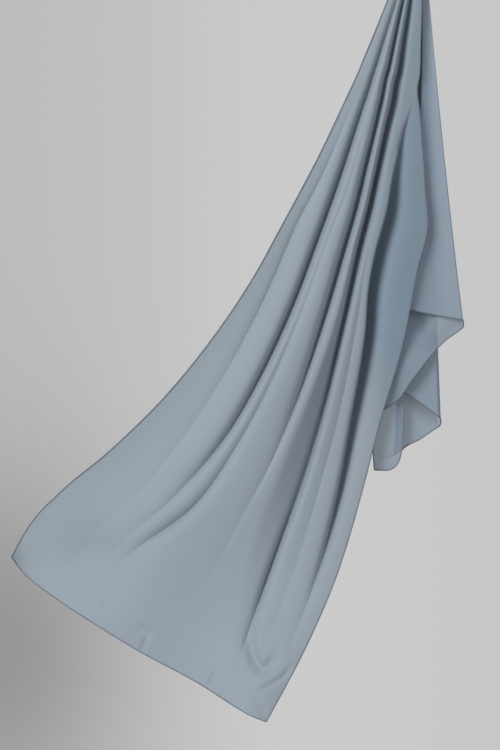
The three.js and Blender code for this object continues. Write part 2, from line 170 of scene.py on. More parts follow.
tree.links.new(ray.outputs["Is Camera Ray"], either.inputs[0])
tree.links.new(even_light.outputs[0], either.inputs[1])
tree.links.new(wall_light.outputs[0], either.inputs[2])
out = node(tree, "ShaderNodeOutputWorld")
tree.links.new(either.outputs[0], out.inputs[0])
print("wall: grey", WALL["left"], "at the left to", WALL["right"], "at the right")

# %% Floor and lights
FLOOR_PLACE = (0, 0.1, -1.62)
FLOOR_RADIUS = 1.7
FLOOR_SIDES = 96
FLOOR_GREY = (0.35, 0.35, 0.35, 1)
FLOOR_ROUGHNESS = 0.9

disc = bmesh.new()
bmesh.ops.create_circle(disc, cap_ends=True, radius=FLOOR_RADIUS, segments=FLOOR_SIDES)
floor_mesh = bpy.data.meshes.new("floor")
disc.to_mesh(floor_mesh)
disc.free()
floor = bpy.data.objects.new("floor", floor_mesh)
floor.location = FLOOR_PLACE
scene.collection.objects.link(floor)
floor_material = bpy.data.materials.new("grey_floor")
floor_material.use_nodes = True
floor_shader = floor_material.node_tree.nodes["Principled BSDF"]
floor_shader.inputs["Base Color"].default_value = FLOOR_GREY
floor_shader.inputs["Roughness"].default_value = FLOOR_ROUGHNESS
floor_mesh.materials.append(floor_material)

LIGHTS = [
    {"name": "key", "place": (-3.2, -3.0, 0.9), "size": 2.6, "watts": 158},
    {"name": "fill", "place": (2.6, -3.2, 0.0), "size": 2.4, "watts": 42},
]
AIM = Vector((-0.25, 0.0, -0.6))
for row in LIGHTS:
    lamp = bpy.data.lights.new(row["name"], "AREA")
    lamp.shape = "DISK"
    lamp.size = row["size"]
    lamp.energy = row["watts"]
    light = bpy.data.objects.new(row["name"], lamp)
    light.location = row["place"]
    light.rotation_euler = (AIM - Vector(row["place"])).to_track_quat("-Z", "Y").to_euler()
    scene.collection.objects.link(light)
print("lights:", {row["name"]: row["watts"] for row in LIGHTS})

# %% [markdown]
# ## The wing's outline
#
# The wing is bounded by two long edges that run from the pinch to the corners of the short end. The edges
# are given at a few stations on the way down, from 0 at the pinch to 1 at the short end, in millimetres, as
# they look from the camera's place, and a smooth curve joins them. X is to the right, Y to the back and Z
# up. `seen` then spreads a place away from the eye's axis by its depth, so that it still looks the same.

# %% The wing's outline
WING_EDGES = {
    "at": [0, 0.06, 0.12, 0.16, 0.178, 0.2, 0.3, 0.35, 0.4, 0.5, 0.6, 0.7, 0.8, 0.9, 1],
    "left_x": [-19, -38, -64, -82, -90, -101, -151, -178, -206, -263, -329, -404, -488, -577, -646],
    "left_y": [0, 1.2, 3.7, 5.9, 6.9, 8.4, 16, 20.5, 25.4, 36, 48.6, 62, 77, 93, 110],
    "left_z": [-20, -66, -131, -174, -194, -218, -324, -376, -428, -531, -628, -719, -801, -877, -971],
    "right_x": [9, 10.5, 9, 8, 4.5, 7, 16, 19.5, 4, -21, -57, -89, -127, -178, -238],
    "right_y": [0, 3, 6.5, 8.5, 9.3, 10.5, 14, 15, 16, 22, 32, 28, 8, -26, -60],
    "right_z": [-20, -78, -154, -203, -226, -256, -384, -446, -509, -635, -758, -882, -1005, -1122, -1235],
}
# How far the short end bulges out between its corners
END_BULGE = {
    "share": [0, 0.07, 0.2, 0.36, 0.52, 0.74, 0.93, 1],
    "bulge": [0, 11.5, 17, 17.5, 15.5, 7, 6, 0],
}


def mix(a, b, share):
    return a + (b - a) * share


def rising(value, start, run):
    """Zero up to a start, then evenly up to one over a run."""
    return np.clip((value - start) / run, 0, 1)


def fading(value, start, run):
    """One up to a start, then evenly down to zero over a run."""
    return 1 - rising(value, start, run)


def along(stations, values, at):
    """Smooth curve through values at uneven stations, with each slope taken across the neighbours."""
    stations, values = np.asarray(stations, float), np.asarray(values, float)
    last = len(stations) - 1
    before = np.maximum(np.arange(last + 1) - 1, 0)
    after = np.minimum(np.arange(last + 1) + 1, last)
    slope = (values[after] - values[before]) / (stations[after] - stations[before])
    i = np.clip(np.searchsorted(stations, at) - 1, 0, last - 1)
    span = stations[i + 1] - stations[i]
    q = (at - stations[i]) / span
    rise = (values[i + 1] - values[i]) / span
    bend = q * (1 - q) * span * ((1 - q) * (slope[i] - rise) - q * (slope[i + 1] - rise))
    return mix(values[i], values[i + 1], q) + bend


def edge(name, down):
    """One of the wing's edge columns at a share of the way down."""
    return along(WING_EDGES["at"], WING_EDGES[name], down)


def seen(x, y, z):
    """A place in the tables, spread from the eye's axis by its depth, in millimetres."""
    spread = 1 + y / EYE["distance"]
    across = EYE["x"] + (x - EYE["x"]) * spread
    return np.stack([across, y + 0 * across, EYE["z"] + (z - EYE["z"]) * spread], axis=-1)


corner_to_corner = [WING_EDGES[f"right_{axis}"][-1] - WING_EDGES[f"left_{axis}"][-1] for axis in "xz"]
print("the short end is", round(math.hypot(*corner_to_corner)), "mm across as seen")

# %% [markdown]
# ## The wing's folds
#
# Gathered cloth fans out from the pinch in long valleys between round ridges. They are tight near the pinch
# and fade towards the short end. A cloth simulation gives folds, but not these folds in these places, so each
# valley is a row of a table: where its bottom runs, how deep it is, and how far each flank reaches. A flank
# falls off like a bent sheet does, steep at the bottom and gentle at the top. The third and fourth valleys
# have a straight slope at their left instead, where the cloth is pulled tight.

# %% The wing's folds
SHARE_AT = [0, 0.06, 0.12, 0.18, 0.24, 0.3, 0.35, 0.4, 0.5, 0.6, 0.7, 0.8, 0.9, 1]
FOLD_AT = [0, 0.06, 0.2, 0.27, 0.35, 0.5, 0.7, 0.85, 0.93, 1]
# Share is where a bottom runs, from 0 at the left edge to 1 at the right, at each of SHARE_AT or of the
# fold's own share_at. The others are at each of FOLD_AT: the depth, the reach of the left and the right
# flank, how much of the left flank is broad, the width of a straight left slope and how much of the flank
# is that, and how far the bottom slips to the right. Lengths are in millimetres.
FOLDS = [
    {
        "name": "outer fold",
        "share": [0.12, 0.12, 0.12, 0.115, 0.105, 0.1, 0.095, 0.09, 0.12, 0.155, 0.175, 0.19, 0.18, 0.18],
        "depth": [0, 0, 0.5, 2, 5, 8, 5, 2, 1, 0],
        "left": [2, 2, 4, 5, 6, 8, 14, 20, 20, 20],
        "right": [2, 2, 4, 4, 5, 6, 12, 20, 20, 20],
    },
    {
        "name": "first valley",
        "share": [0.27, 0.25, 0.235, 0.242, 0.236, 0.237, 0.243,
                  0.264, 0.292, 0.322, 0.33, 0.307, 0.27, 0.25],
        "depth": [2.4, 7, 19, 24, 27, 26, 17, 4, 1, 0],
        "left": [1.2, 2, 2.6, 2.8, 3, 3.4, 6, 14, 17, 20],
        "right": [1, 1.2, 1.6, 1.8, 2, 2.4, 4, 10, 15, 20],
        "broad": [0, 0.1, 0.35, 0.4, 0.4, 0.3, 0.25, 0.3, 0.3, 0.3],
    },
    {
        "name": "arc beside the first valley",
        "share": [0.35, 0.34, 0.335, 0.335, 0.33, 0.327, 0.326, 0.331, 0.354, 0.387, 0.396, 0.39, 0.32, 0.27],
        "depth": [0, 0, 0, 1, 2, 4, 9, 12, 2, 0],
        "left": [3, 3, 3, 4, 5, 7, 9, 11, 15.5, 20],
        "right": [3, 3, 3, 4, 5, 5, 5, 6, 11, 16],
    },
    {
        "name": "second valley",
        "share": [0.45, 0.43, 0.44, 0.455, 0.443, 0.431, 0.434, 0.462, 0.496, 0.544, 0.566, 0.57, 0.6, 0.62],
        "depth": [3.6, 15, 24, 26, 28, 25, 5, 1, 0, 0],
        "left": [1, 1.4, 2, 2.6, 3, 4, 7, 12, 16, 20],
        "right": [1, 1.4, 1.8, 2, 2, 2.6, 5, 10, 15, 20],
        "broad": [0, 0, 0.1, 0.15, 0.2, 0.2, 0.2, 0.2, 0.2, 0.2],
    },
    {
        "name": "third valley",
        "share": [0.66, 0.65, 0.637, 0.635, 0.577, 0.547, 0.538,
                  0.566, 0.617, 0.688, 0.723, 0.748, 0.797, 0.85],
        "depth": [4.4, 14, 27, 31, 32, 29, 29, 20, 3, 0],
        "left": [0.8, 1, 1.5, 1.8, 2.2, 2.6, 3.5, 4, 8, 12],
        "right": [1, 1.6, 2.2, 2.6, 2.8, 2.6, 2.6, 4.5, 8, 10],
        "slope": [1, 1, 1, 3, 8, 12, 38, 36, 20, 10],
        "straight": [0, 0, 0, 0.1, 0.4, 0.75, 0.82, 0.35, 0.1, 0],
        "slip": [0, -1, -2, -2, -2, -1, 0, 0, 0, 0],
    },
    {
        "name": "arc beside the fourth valley",
        "share": [0.8, 0.79, 0.78, 0.76, 0.68, 0.62, 0.6, 0.63, 0.7, 0.776, 0.807, 0.837, 0.87, 0.9],
        "depth": [0, 0, 0, 0, 1, 4, 4, 2, 1, 0],
        "left": [3, 3, 3, 4, 6, 9, 12, 14, 18, 20],
        "right": [3, 3, 3, 4, 7, 10, 13, 14, 16, 18],
    },
    {
        "name": "fourth valley",
        "share_at": [0, 0.1, 0.15, 0.18, 0.2, 0.22, 0.24, 0.27, 0.3, 0.35,
                     0.4, 0.45, 0.5, 0.55, 0.6, 0.7, 0.8, 0.9, 1],
        "share": [1.03, 1.03, 1.02, 0.98, 0.912, 0.842, 0.79, 0.745, 0.714, 0.687,
                  0.7, 0.724, 0.777, 0.822, 0.858, 0.904, 0.93, 0.95, 0.965],
        "depth": [0.3, 0.4, 0.4, 12, 30, 34, 24, 4, 0, 0],
        "left": [1, 1, 1.2, 1.5, 1.5, 2, 3, 8, 9, 10],
        "right": [1.5, 2, 3.5, 7, 9.5, 9.5, 7, 6, 8, 10],
        "slope": [4, 4, 4, 4, 4, 4, 6, 8, 8, 8],
        "straight": [1, 1, 1, 1, 1, 0.9, 0.3, 0, 0, 0],
        "slip": [0, 0, -3, -6, -8, -7, -3, 0, 0, 0],
    },
]
BROAD_REACH = 16
# How round a bottom is, and the foot of a straight slope
TIGHTEST_TURN = 0.35
SLOPE_CORNER = 0.07
# Powers of e are kept within this, because larger ones overflow
LARGEST_POWER = 40


def fold_at(fold, name, down):
    """One of a fold's rows at a share of the way down. A row that it lacks is zero."""
    if name == "share":
        return along(fold.get("share_at", SHARE_AT), fold["share"], down)
    return along(FOLD_AT, fold.get(name, [0] * len(FOLD_AT)), down)


def soft_ramp(run):
    """One at 0, a straight fall to about nothing at 1, and a soft corner there."""
    top = np.log1p(np.exp(1 / SLOPE_CORNER))
    return np.log1p(np.exp(np.clip((1 - run) / SLOPE_CORNER, -LARGEST_POWER, LARGEST_POWER))) / top


def fold_shape(fold, off, down):
    """How much of a valley's depth is reached at a distance from its bottom, from 0 to 1."""
    reach = np.where(off < 0, fold_at(fold, "left", down), fold_at(fold, "right", down))
    narrow = np.minimum(fold_at(fold, "left", down), fold_at(fold, "right", down))
    bottom = TIGHTEST_TURN * np.maximum(fold_at(fold, "depth", down), 0) / narrow
    shape = np.exp(-(np.sqrt(off**2 + bottom**2) - bottom) / reach)
    if "broad" in fold:
        share = np.where(off < 0, np.clip(fold_at(fold, "broad", down), 0, 1), 0)
        shape = mix(shape, np.exp(-(np.sqrt(off**2 + bottom**2) - bottom) / BROAD_REACH), share)
    if "straight" in fold:
        ramp = soft_ramp(np.abs(off) / fold_at(fold, "slope", down))
        share = np.where(off < 0, np.clip(fold_at(fold, "straight", down), 0, 1), 0)
        shape = mix(shape, ramp, share)
    return shape


for fold in FOLDS:
    print(fold["name"], "is", max(fold["depth"]), "mm deep at most")

# %% [markdown]
# ## Short creases and soft hollows
#
# Near the short end there is less to pull the cloth straight, so it has short creases: a hook where the third
# valley runs out, a fold across the lower corner, and puckers where the hem holds the cloth. They could be
# sculpted, but a crease that is a path with a depth and a reach is easy to move later. A round dent does the
# same about one point: it curls the outer corner forward and hollows the cloth beside it.

# %% Short creases and soft hollows
CREASES = [
    {"name": "hook at the third valley's end", "depth": 8, "reach": 9,
     "path": [(-262, -1085), (-264, -1106), (-261, -1123), (-255, -1139), (-246, -1150), (-237, -1149),
              (-229, -1138), (-224, -1128)]},
    {"name": "fold across the lower corner", "depth": 3, "reach": 4,
     "path": [(-256, -1186), (-243, -1182), (-226, -1173), (-211, -1163), (-198, -1146)]},
    {"name": "crease into the lower corner", "depth": 2.5, "reach": 3,
     "path": [(-259, -1195), (-248, -1208), (-237, -1221)]},
    {"name": "pucker at the short end, near the lower corner", "depth": 2.5, "reach": 4,
     "path": [(-320, -1155), (-325, -1168), (-330, -1181)]},
    {"name": "small pucker beside it", "depth": 1.5, "reach": 3, "path": [(-310, -1184), (-307, -1196)]},
    {"name": "pucker at the short end's middle", "depth": 2, "reach": 5,
     "path": [(-430, -1100), (-436, -1121)]},
    {"name": "pucker near the outer corner", "depth": 2, "reach": 5, "path": [(-497, -1040), (-500, -1058)]},
    {"name": "smudge above the short end", "depth": 2, "reach": 9, "path": [(-445, -1082), (-418, -1098)]},
]
# A crease fades over this share of its path at each end, to this share of its depth
CREASE_FADE = 0.25
CREASE_END_DEPTH = 0.25
OUTER_CORNER_CURL = {"x": -668, "z": -968, "depth": -26, "reach": 21}
LEFT_HOLLOW = {"x": -512, "z": -979, "depth": 14, "reach": 36}


def crease_depth(crease, x, z):
    """How far a short crease presses in, fading out at its ends."""
    path = np.array(crease["path"], float)
    steps = np.linalg.norm(np.diff(path, axis=0), axis=1)
    passed = np.append(0, np.cumsum(steps))
    nearest, place = np.full(x.shape, np.inf), np.zeros(x.shape)
    for (ax, az), (bx, bz), far, step in zip(path, path[1:], passed, steps):
        q = np.clip(((x - ax) * (bx - ax) + (z - az) * (bz - az)) / step**2, 0, 1)
        off = np.hypot(x - mix(ax, bx, q), z - mix(az, bz, q))
        place = np.where(off < nearest, (far + q * step) / passed[-1], place)
        nearest = np.minimum(off, nearest)
    inside = rising(np.minimum(place, 1 - place), 0, CREASE_FADE)
    shape = np.exp(-((nearest / crease["reach"]) ** 2))
    return crease["depth"] * shape * mix(CREASE_END_DEPTH, 1, inside)


def round_dent(dent, x, z):
    """How far a round dent presses in."""
    away_squared = (x - dent["x"]) ** 2 + (z - dent["z"]) ** 2
    return dent["depth"] * np.exp(-away_squared / (2 * dent["reach"] ** 2))


print("short creases:", [crease["name"] for crease in CREASES])

# %% [markdown]
# ## The wing's surface
#
# One function gives the place of each point of the wing. It starts from a flat sheet between the two edges
# and adds what bends it: a belly that the air blows forward, a slow wave along the short end, the folds, the
# smooth panel that lies further back than the fourth valley's left ridge, and the short creases. Modifiers
# could bend a plane too, but here each bend has its own size in millimetres and its own place.

# %% The wing's surface
WING_TOP_DEPTH = -11
BELLY = 26
FLAT_MARGIN = 1.5
FLAT_TOP_RIGHT = {"flatter": 0.8, "share": 0.5, "share_run": 0.2, "down": 0.2, "down_run": 0.12}
# The bends of the short end grow with this power of the way down
END_POWER = 3
END_WAVE = {"depth": 9, "turns": 1.6, "start": 0.15}
# How far back the smooth panel is at each of FOLD_AT, and how softly its left side turns
SET_BACK = [0, 0, 0.3, 3, 8, 8, 3, 0, 0, 0]
SET_BACK_TURN = 2.5
NARROWEST_PANEL = 0.06
OUTER_EDGE_ROUND = {"x": -3.6, "z": 2.7, "down": 0.9, "down_run": 0.1, "power": 8}
LOWER_MARGIN = {"depth": 9, "share": 0.92, "share_run": 0.08, "down": 0.88, "down_run": 0.08, "power": 1.5}


def wing_width(down):
    """How far apart the wing's edges are, as seen."""
    rise = edge("right_z", down) - edge("left_z", down)
    return np.hypot(edge("right_x", down) - edge("left_x", down), rise)


def belly_at(share, down):
    """How far the air blows the wing forward: less near its left edge, and less at the top right."""
    margin = 1 + (1 - share) * np.minimum(FLAT_MARGIN * down, 1)
    row = FLAT_TOP_RIGHT
    top_right = rising(share, row["share"], row["share_run"]) * fading(down, row["down"], row["down_run"])
    most = BELLY * (1 - row["flatter"] * top_right) * np.sin(math.pi * down)
    return most * np.clip(np.sin(math.pi * share), 0, 1) ** margin


def set_back_at(share, down):
    """How far back the panel beyond the fourth valley starts. It meets the right edge again."""
    seam_share = fold_at(FOLDS[-1], "share", down)
    past = (share - seam_share) * wing_width(down) / SET_BACK_TURN
    beyond = 1 / (1 + np.exp(-np.clip(past, -LARGEST_POWER, LARGEST_POWER)))
    room = np.maximum(1 - seam_share, NARROWEST_PANEL)
    return along(FOLD_AT, SET_BACK, down) * beyond * np.clip((1 - share) / room, 0, 1)


def lower_margin_at(share, down):
    """How far the right edge turns back near the lower corner."""
    row = LOWER_MARGIN
    near_edge = rising(share, row["share"], row["share_run"]) ** row["power"]
    return row["depth"] * near_edge * rising(down, row["down"], row["down_run"])


def wing_place(share, down):
    """A place on the wing: a share of the way across from its left edge, and of the way down."""
    share, down = np.broadcast_arrays(np.asarray(share, float), np.asarray(down, float))
    left_x, left_z = edge("left_x", down), edge("left_z", down)
    right_x, right_z = edge("right_x", down), edge("right_z", down)
    width = wing_width(down)
    wave = np.sin(2 * math.pi * (END_WAVE["turns"] * share + END_WAVE["start"]))
    y = WING_TOP_DEPTH + mix(edge("left_y", down), edge("right_y", down), share)
    y = y - belly_at(share, down) + END_WAVE["depth"] * down**END_POWER * wave + set_back_at(share, down)
    slipped = share + 0
    for fold in FOLDS:
        shape = fold_shape(fold, (share - fold_at(fold, "share", down)) * width, down)
        y = y + fold_at(fold, "depth", down) * shape
        slipped = slipped + fold_at(fold, "slip", down) * shape / width
    bulge = down**END_POWER * along(END_BULGE["share"], END_BULGE["bulge"], share)
    rounding = np.sin(math.pi * rising(down, OUTER_EDGE_ROUND["down"], OUTER_EDGE_ROUND["down_run"]))
    rounding = rounding * (1 - share) ** OUTER_EDGE_ROUND["power"]
    x = mix(left_x, right_x, slipped) + bulge * (right_z - left_z) / width + OUTER_EDGE_ROUND["x"] * rounding
    z = mix(left_z, right_z, slipped) - bulge * (right_x - left_x) / width + OUTER_EDGE_ROUND["z"] * rounding
    y = y + sum(crease_depth(crease, x, z) for crease in CREASES) + lower_margin_at(share, down)
    y = y + round_dent(OUTER_CORNER_CURL, x, z) + round_dent(LEFT_HOLLOW, x, z)
    return seen(x, y, z)


print("the wing is", round(float(wing_width(0.5))), "mm across half way down, as seen")

# %% [markdown]
# ## A sheet of cloth from a surface
#
# A sheet could be a subdivided plane bent by modifiers. Here each sheet is a grid of points laid straight on
# its surface function, because then a fold keeps its exact place. The grid also gets the cloth's own flat
# coordinates, in metres, so that the weave runs with the threads round every fold.

# %% Sheet of cloth
def grid_piece(name, points, flat, closed_across=False):
    """A smooth mesh from rows of points, with its place in the flat cloth as UVs."""
    rows, columns = points.shape[:2]
    number = np.arange(rows * columns).reshape(rows, columns)
    a, b = number[:-1, :-1], number[:-1, 1:]
    c, d = number[1:, 1:], number[1:, :-1]
    faces = np.stack([a, d, c, b], axis=-1).reshape(-1, 4)
    if closed_across:
        last, first = number[:, -1], number[:, 0]
        around = np.stack([last[:-1], last[1:], first[1:], first[:-1]], axis=-1)
        faces = np.concatenate([faces, around])
    mesh = bpy.data.meshes.new(name)
    mesh.from_pydata((points.reshape(-1, 3) * MM).tolist(), [], faces.tolist())
    mesh.polygons.foreach_set("use_smooth", np.ones(len(mesh.polygons), bool))
    place = np.stack([
        np.broadcast_to(np.linspace(0, flat[0], columns), (rows, columns)),
        np.broadcast_to(np.linspace(0, flat[1], rows)[:, None], (rows, columns)),
    ], axis=-1).reshape(-1, 2)
    uv = mesh.uv_layers.new(name="cloth")
    corner_vertex = np.zeros(len(mesh.loops), np.int32)
    mesh.loops.foreach_get("vertex_index", corner_vertex)
    uv.data.foreach_set("uv", place[corner_vertex].astype(np.float32).ravel())
    mesh.update()
    piece = bpy.data.objects.new(name, mesh)
    scene.collection.objects.link(piece)
    return piece


def area_of(piece):
    return sum(face.area for face in piece.data.polygons)


# %% [markdown]
# ## The wing
#
# The wing is one unbroken sheet from its left edge to the smooth panel at its right. It stands for two
# solids, which part at the bottom of the fourth valley only so that each is simple. Columns are close in the
# flanks, where the cloth turns quickly. A number on each point says how much cloth lies behind it: the fall,
# or gathers pressed together. The material paints such places darker and bluer, a painted shade for the
# wall's light that this cloth holds back.

# %% The wing
WING_FLAT = (0.75, 1.25)
WING_ROWS = 290
WING_COLUMNS = 330
# Columns are this much closer in a valley of at least this depth
CLOSER_IN_A_VALLEY = 9.0
STEEP_DEPTH = 10
# Where painted shade darkens the wing: over the fall, and where the gathers are bundled near the top
OVER_FALL = {"start": -3, "run": 6, "down": 0.5, "down_run": 0.12}
BUNDLED = {"most": 0.6, "start": 0.25, "run": 0.4, "down": 0.35, "down_run": 0.15}


def closer_columns(down, count, samples=1200):
    """Shares across one section, closer together where the cloth turns quickly."""
    share = np.linspace(0, 1, samples)
    width = float(wing_width(down))
    need = np.ones(samples)
    for fold in FOLDS:
        off = (share - float(fold_at(fold, "share", down))) * width
        steep = rising(float(fold_at(fold, "depth", down)), 0, STEEP_DEPTH)
        need += CLOSER_IN_A_VALLEY * steep * fold_shape(fold, off, down)
    passed = np.append(0, np.cumsum((need[1:] + need[:-1]) / 2))
    return np.interp(np.linspace(0, passed[-1], count), passed, share)


wing_down = np.linspace(0.0, 1.0, WING_ROWS)
wing_shares = np.array([closer_columns(down, WING_COLUMNS) for down in wing_down])
wing_points = wing_place(wing_shares, wing_down[:, None])
wing = grid_piece("wing_cloth", wing_points, WING_FLAT)
seam_shares = fold_at(FOLDS[-1], "share", wing_down)[:, None]
past_seam = (wing_shares - seam_shares) * wing_width(wing_down)[:, None]
over_fall = rising(past_seam, OVER_FALL["start"], OVER_FALL["run"])
over_fall = over_fall * fading(wing_down, OVER_FALL["down"], OVER_FALL["down_run"])[:, None]
bundled = BUNDLED["most"] * rising(wing_shares, BUNDLED["start"], BUNDLED["run"])
bundled = bundled * fading(wing_down, BUNDLED["down"], BUNDLED["down_run"])[:, None]
# The painted shade's mask, kept as a number on each point
cloth_behind = np.maximum(over_fall, bundled)
layers = wing.data.attributes.new("shade_of_layers_behind", "FLOAT", "POINT")
layers.data.foreach_set("value", cloth_behind.astype(np.float32).ravel())
print("wing:", len(wing.data.polygons) * 2, "triangles,", round(area_of(wing), 3), "m2")

# %% [markdown]
# ## The fall
#
# The other half of the scarf hangs straight down. It folds to and fro like a cascade: each layer ends in a
# turn that its weight has flattened. Its short end, cut at a right angle to the long edges, shows as a zigzag
# hem. One path across, layer and turn by turn, is given at the pinch and at the hem and mixed between. Each
# layer is hollow or round across, so that light shades it. A cloth simulation would let the layers slide.

# %% The fall
TURNS = [
    {"top_x": 18, "top_y": 3.6, "top_r": 1.2, "hem_x": 77.6, "hem_z": -598, "hem_y": 20, "hem_r": 6,
     "side": 1, "way": 1, "bow": -3, "tilt": 7},
    {"top_x": 0, "top_y": 6.2, "top_r": 1.2, "hem_x": -53, "hem_z": -736, "hem_y": 33, "hem_r": 5,
     "side": -1, "way": 1, "bow": 0},
    {"top_x": 13, "top_y": 11, "top_r": 3.6, "hem_x": 41.3, "hem_z": -754, "hem_y": 53, "hem_r": 13,
     "side": 1, "way": 1, "bow": 0, "tilt": 9},
    {"top_x": 2, "top_y": 13.4, "top_r": 1.2, "hem_x": -33.6, "hem_z": -808, "hem_y": 60, "hem_r": 4,
     "side": -1, "way": -1, "bow": 0},
    {"top_x": 9, "top_y": 11, "top_r": 1.2, "hem_x": -19.2, "hem_z": -799, "hem_y": 49, "hem_r": 4,
     "side": 1, "way": -1, "bow": 0},
]
FALL_START = {"top_x": 9.6, "top_y": 2.4, "hem_x": -24, "hem_z": -572, "hem_y": 14, "bow": 14}
FALL_END = {"top_x": -1, "top_y": 9.8, "hem_x": -61.6, "hem_z": -832, "hem_y": 45, "bow": 0}
LAYERS = [
    {"name": "front", "belly": -8, "sag": [[0, 0], [0.5, 1], [1, 0]]},
    {"name": "first return", "belly": -3, "sag": [[0, 0], [0.3, -9], [0.62, -1], [0.8, 8], [1, 0]]},
    {"name": "second fall", "belly": -1, "sag": [[0, 0], [0.2, -22], [0.38, -31], [0.7, -17], [1, 0]]},
    {"name": "second return", "belly": 1.6, "sag": [[0, 0], [0.4, 1], [0.7, -2], [1, 0]]},
    {"name": "link", "belly": 1.6, "sag": [[0, 0], [1, 0]]},
    {"name": "tail strip", "belly": 1.6, "sag": [[0, 0], [0.12, 15], [0.42, 18], [1, 0]]},
]
FALL_TOP_Z = -20.3
BELLY_LEAN = 1.35
TURN_FLATNESS = 0.4
# A turn tilts near its hem only, so it grows with this power of the way down
TILT_POWER = 6
# Everything after the middle of the first turn is behind the front layer
BEHIND_FROM, BEHIND_RUN = 1.5, 1
FLARE = {"out": 9, "at": 0.94, "reach": 0.06}
UNDER_FRONT_HEM = {"depth": 11, "reach": 13, "path": [(-40, -586), (0, -592), (30, -603)]}
BEHIND_FRONT_CORNER = {"x": 62, "z": -628, "depth": 24, "reach": 20}
RETURN_SWELL = {"x": -8, "z": -668, "depth": -9, "reach": 32}
TAIL_HEM_LINE = {"depth": 1.8, "reach": 2.2, "path": [(-64, -815), (-50, -816), (-38, -812), (-28, -806)]}
FALL_PARTS = 2 * len(TURNS) + 1


def on_turn(row, down, sign):
    """A turn's centre, or its start or end shoulder, and its radius."""
    radius = mix(row.get("top_r", 0), row.get("hem_r", 0), down)
    x = mix(row["top_x"], row["hem_x"], down) + row["bow"] * 4 * down * (1 - down)
    x = x - row.get("side", 0) * TURN_FLATNESS * radius
    y = mix(row["top_y"], row["hem_y"], down) + sign * row.get("way", 0) * radius
    z = mix(FALL_TOP_Z, row["hem_z"], down) - sign * row.get("tilt", 0) * down**TILT_POWER
    return x, y, z, radius


def fall_place(across, down):
    """A place on the fall. Across counts its parts, layer, turn, layer and so on."""
    across, down = np.broadcast_arrays(np.asarray(across, float), np.asarray(down, float))
    part = np.clip(np.floor(across), 0, FALL_PARTS - 1)
    q = across - part
    x, y, z = np.zeros_like(across), np.zeros_like(across), np.zeros_like(across)
    for i, row in enumerate(TURNS):
        on = part == 2 * i + 1
        centre_x, centre_y, centre_z, radius = on_turn(row, down, 0)
        angle = math.pi * (q - 0.5)
        x = np.where(on, centre_x + row["side"] * TURN_FLATNESS * radius * np.cos(angle), x)
        y = np.where(on, centre_y + row["way"] * radius * np.sin(angle), y)
        z = np.where(on, centre_z - row.get("tilt", 0) * down**TILT_POWER * np.sin(angle), z)
    ends = [FALL_START, *TURNS, FALL_END]
    for i, layer in enumerate(LAYERS):
        on = part == 2 * i
        start_x, start_y, start_z, _ = on_turn(ends[i], down, 1)
        end_x, end_y, end_z, _ = on_turn(ends[i + 1], down, -1)
        sag = np.array(layer["sag"], float)
        drop = along(sag[:, 0], sag[:, 1], q) * down
        belly = layer["belly"] * down * np.sin(math.pi * np.clip(q, 0, 1) ** BELLY_LEAN)
        x = np.where(on, mix(start_x, end_x, q), x)
        y = np.where(on, mix(start_y, end_y, q) - belly, y)
        z = np.where(on, mix(start_z, end_z, q) - drop, z)
    flare = FLARE["out"] * np.exp(-(((down - FLARE["at"]) / FLARE["reach"]) ** 2))
    x = x - np.where(part == FALL_PARTS - 1, q**2, 0) * flare
    behind = rising(across, BEHIND_FROM, BEHIND_RUN)
    y = y + behind * (crease_depth(UNDER_FRONT_HEM, x, z) + round_dent(BEHIND_FRONT_CORNER, x, z))
    y = y + np.where(part == 2, round_dent(RETURN_SWELL, x, z), 0)
    y = y + np.where(part == FALL_PARTS - 1, crease_depth(TAIL_HEM_LINE, x, z), 0)
    return seen(x, y, z)


FALL_FLAT = (0.70, 0.80)
FALL_ROWS = 200
CLOSER_AT_THE_HEM = 1.4
LAYER_COLUMNS = 44
TURN_COLUMNS = 14


def fall_columns():
    """Where the columns are across: more on each layer than on a turn."""
    counts = [LAYER_COLUMNS, TURN_COLUMNS] * len(TURNS) + [LAYER_COLUMNS]
    steps = [part + np.arange(count) / count for part, count in enumerate(counts)]
    return np.append(np.concatenate(steps), FALL_PARTS)


fall_down = 1 - (1 - np.linspace(0.0, 1.0, FALL_ROWS)) ** CLOSER_AT_THE_HEM
fall_points = fall_place(fall_columns()[None, :], fall_down[:, None])
fall = grid_piece("fall_cloth", fall_points, FALL_FLAT)
print("layers of the fall:", [layer["name"] for layer in LAYERS])
print("fall:", len(fall.data.polygons) * 2, "triangles,", round(area_of(fall), 3), "m2")

# %% [markdown]
# ## Rolled hems
#
# The edges are rolled over and caught with small slanting stitches, so they are round, dense and a little
# uneven, about two millimetres thick. A curve with a round bevel could make the roll, but not the stitches,
# so each hem is a tube of its own: rings round the sheet's edge whose radius dips at each stitch.

# %% Rolled hems
HEM_RADIUS = 1.05
HEM_SIDES = 10
STITCH_PITCH = 3.4
STITCH_DIP = 0.16
STEPS_A_STITCH = 5
# The radius varies by this share of itself from one of these steps to the next
UNEVEN = {"every": 20, "share": 0.07}
CLOSED_END = 0.05


def even_path(points, step):
    """The same path with points a step apart, and how far along each one is."""
    gaps = np.linalg.norm(np.diff(points, axis=0), axis=1)
    far = np.append(0, np.cumsum(gaps))
    at = np.linspace(0, far[-1], max(int(far[-1] / step), 2))
    return np.stack([np.interp(at, far, points[:, i]) for i in range(3)], axis=-1), at


